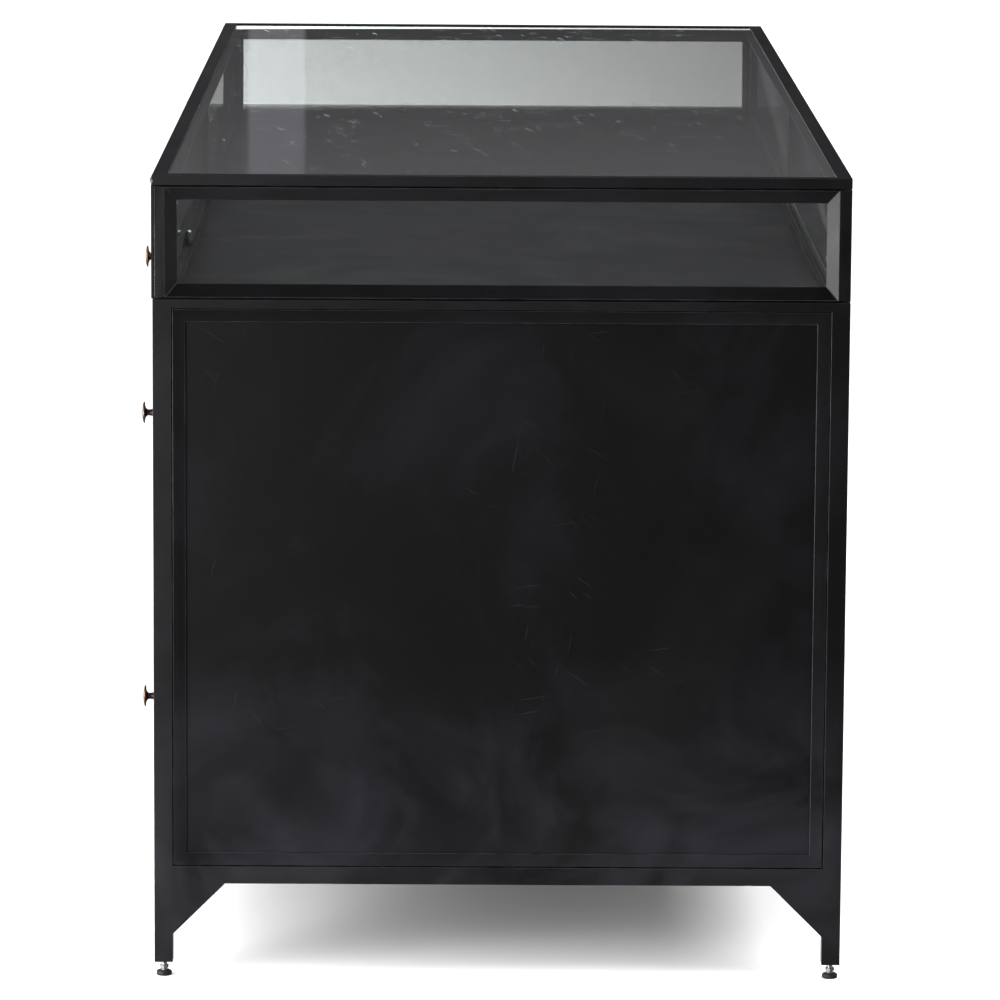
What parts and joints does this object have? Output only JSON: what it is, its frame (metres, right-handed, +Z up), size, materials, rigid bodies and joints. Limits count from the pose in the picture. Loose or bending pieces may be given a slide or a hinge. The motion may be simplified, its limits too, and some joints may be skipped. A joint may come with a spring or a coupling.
{
  "type": "display case",
  "caption": "Glass-topped black iron display case on short legs, with a glazed show chamber under top-hung front flaps and storage drawers below.",
  "frame": {"origin": "centre of the bounding box at floor level, knobs included", "axes": "+X along the case's length, to the right when facing the drawers; -Y is the front with the drawers and flaps; +Z is up"},
  "size_m": [1.72, 0.6934, 0.7875],
  "materials": {
    "black_iron": "dark waxed iron, satin, with faint brown and blue smoky patina and fine scratches",
    "black_sheet": "dark waxed sheet iron, satin, cloudy patina",
    "inner_steel": "dark oiled sheet steel, dull satin",
    "clear_glass": "clear float glass with a faint green tint and fine surface scratches",
    "copper_bronze": "aged copper-bronze, bright where fingers rub the disc, dark behind it",
    "zinc_plate": "bright zinc plate",
    "black_plastic": "matt moulded plastic"
  },
  "bodies": {
    "case": {"top_frame": "black_iron", "top_glass": "clear_glass", "front_frame": "black_iron", "back_frame": "black_iron", "back_window_frame": "black_iron", "deck": "black_sheet", "bottom_pan": "black_sheet", "centre_divider": "inner_steel", "right_end_frame": "black_iron", "right_end_moulding": "black_iron", "right_end_sheet": "black_sheet", "right_window_frame": "black_iron", "right_window_glass": "clear_glass", "right_back_moulding": "black_iron", "right_back_sheet": "black_sheet", "right_back_glass": "clear_glass", "right_flap_hinge_pin_outer": "zinc_plate", "right_flap_hinge_pin_inner": "zinc_plate", "right_upper_drawer_runners": "inner_steel", "right_lower_drawer_runners": "inner_steel", "left_end_frame": "black_iron", "left_end_moulding": "black_iron", "left_end_sheet": "black_sheet", "left_window_frame": "black_iron", "left_window_glass": "clear_glass", "left_back_moulding": "black_iron", "left_back_sheet": "black_sheet", "left_back_glass": "clear_glass", "left_flap_hinge_pin_outer": "zinc_plate", "left_flap_hinge_pin_inner": "zinc_plate", "left_upper_drawer_runners": "inner_steel", "left_lower_drawer_runners": "inner_steel"},
    "right_flap": {"right_flap_frame": "black_iron", "right_flap_glass": "clear_glass", "right_flap_knob_outer": "copper_bronze", "right_flap_knob_inner": "copper_bronze"},
    "right_upper_drawer": {"right_upper_drawer_front": "black_sheet", "right_upper_drawer_box": "inner_steel", "right_upper_drawer_knob_outer": "copper_bronze", "right_upper_drawer_knob_inner": "copper_bronze"},
    "right_lower_drawer": {"right_lower_drawer_front": "black_sheet", "right_lower_drawer_box": "inner_steel", "right_lower_drawer_knob_outer": "copper_bronze", "right_lower_drawer_knob_inner": "copper_bronze"},
    "right_front_glide": {"right_front_glide": "zinc_plate"},
    "right_back_glide": {"right_back_glide": "zinc_plate"},
    "left_flap": {"left_flap_frame": "black_iron", "left_flap_glass": "clear_glass", "left_flap_knob_outer": "copper_bronze", "left_flap_knob_inner": "copper_bronze"},
    "left_upper_drawer": {"left_upper_drawer_front": "black_sheet", "left_upper_drawer_box": "inner_steel", "left_upper_drawer_knob_outer": "copper_bronze", "left_upper_drawer_knob_inner": "copper_bronze"},
    "left_lower_drawer": {"left_lower_drawer_front": "black_sheet", "left_lower_drawer_box": "inner_steel", "left_lower_drawer_knob_outer": "copper_bronze", "left_lower_drawer_knob_inner": "copper_bronze"},
    "left_front_glide": {"left_front_glide": "zinc_plate"},
    "left_back_glide": {"left_back_glide": "zinc_plate"}
  },
  "joints": [
    {"name": "right_flap_hinge", "type": "hinge", "parent": "case", "child": "right_flap", "pos_m": [0, -0.32375, 0.7818], "axis": [-1, 0, 0], "range_deg": [0, 88]},
    {"name": "right_upper_drawer_slide", "type": "slide", "parent": "case", "child": "right_upper_drawer", "axis": [0, -1, 0], "range_m": [0, 0.45]},
    {"name": "right_lower_drawer_slide", "type": "slide", "parent": "case", "child": "right_lower_drawer", "axis": [0, -1, 0], "range_m": [0, 0.45]},
    {"name": "right_front_glide_screw", "type": "slide", "parent": "case", "child": "right_front_glide", "axis": [0, 0, -1], "range_m": [0, 0.01]},
    {"name": "right_back_glide_screw", "type": "slide", "parent": "case", "child": "right_back_glide", "axis": [0, 0, -1], "range_m": [0, 0.01]},
    {"name": "left_flap_hinge", "type": "hinge", "parent": "case", "child": "left_flap", "pos_m": [0, -0.32375, 0.7818], "axis": [-1, 0, 0], "range_deg": [0, 88]},
    {"name": "left_upper_drawer_slide", "type": "slide", "parent": "case", "child": "left_upper_drawer", "axis": [0, -1, 0], "range_m": [0, 0.45]},
    {"name": "left_lower_drawer_slide", "type": "slide", "parent": "case", "child": "left_lower_drawer", "axis": [0, -1, 0], "range_m": [0, 0.45]},
    {"name": "left_front_glide_screw", "type": "slide", "parent": "case", "child": "left_front_glide", "axis": [0, 0, -1], "range_m": [0, 0.01]},
    {"name": "left_back_glide_screw", "type": "slide", "parent": "case", "child": "left_back_glide", "axis": [0, 0, -1], "range_m": [0, 0.01]}
  ]
}
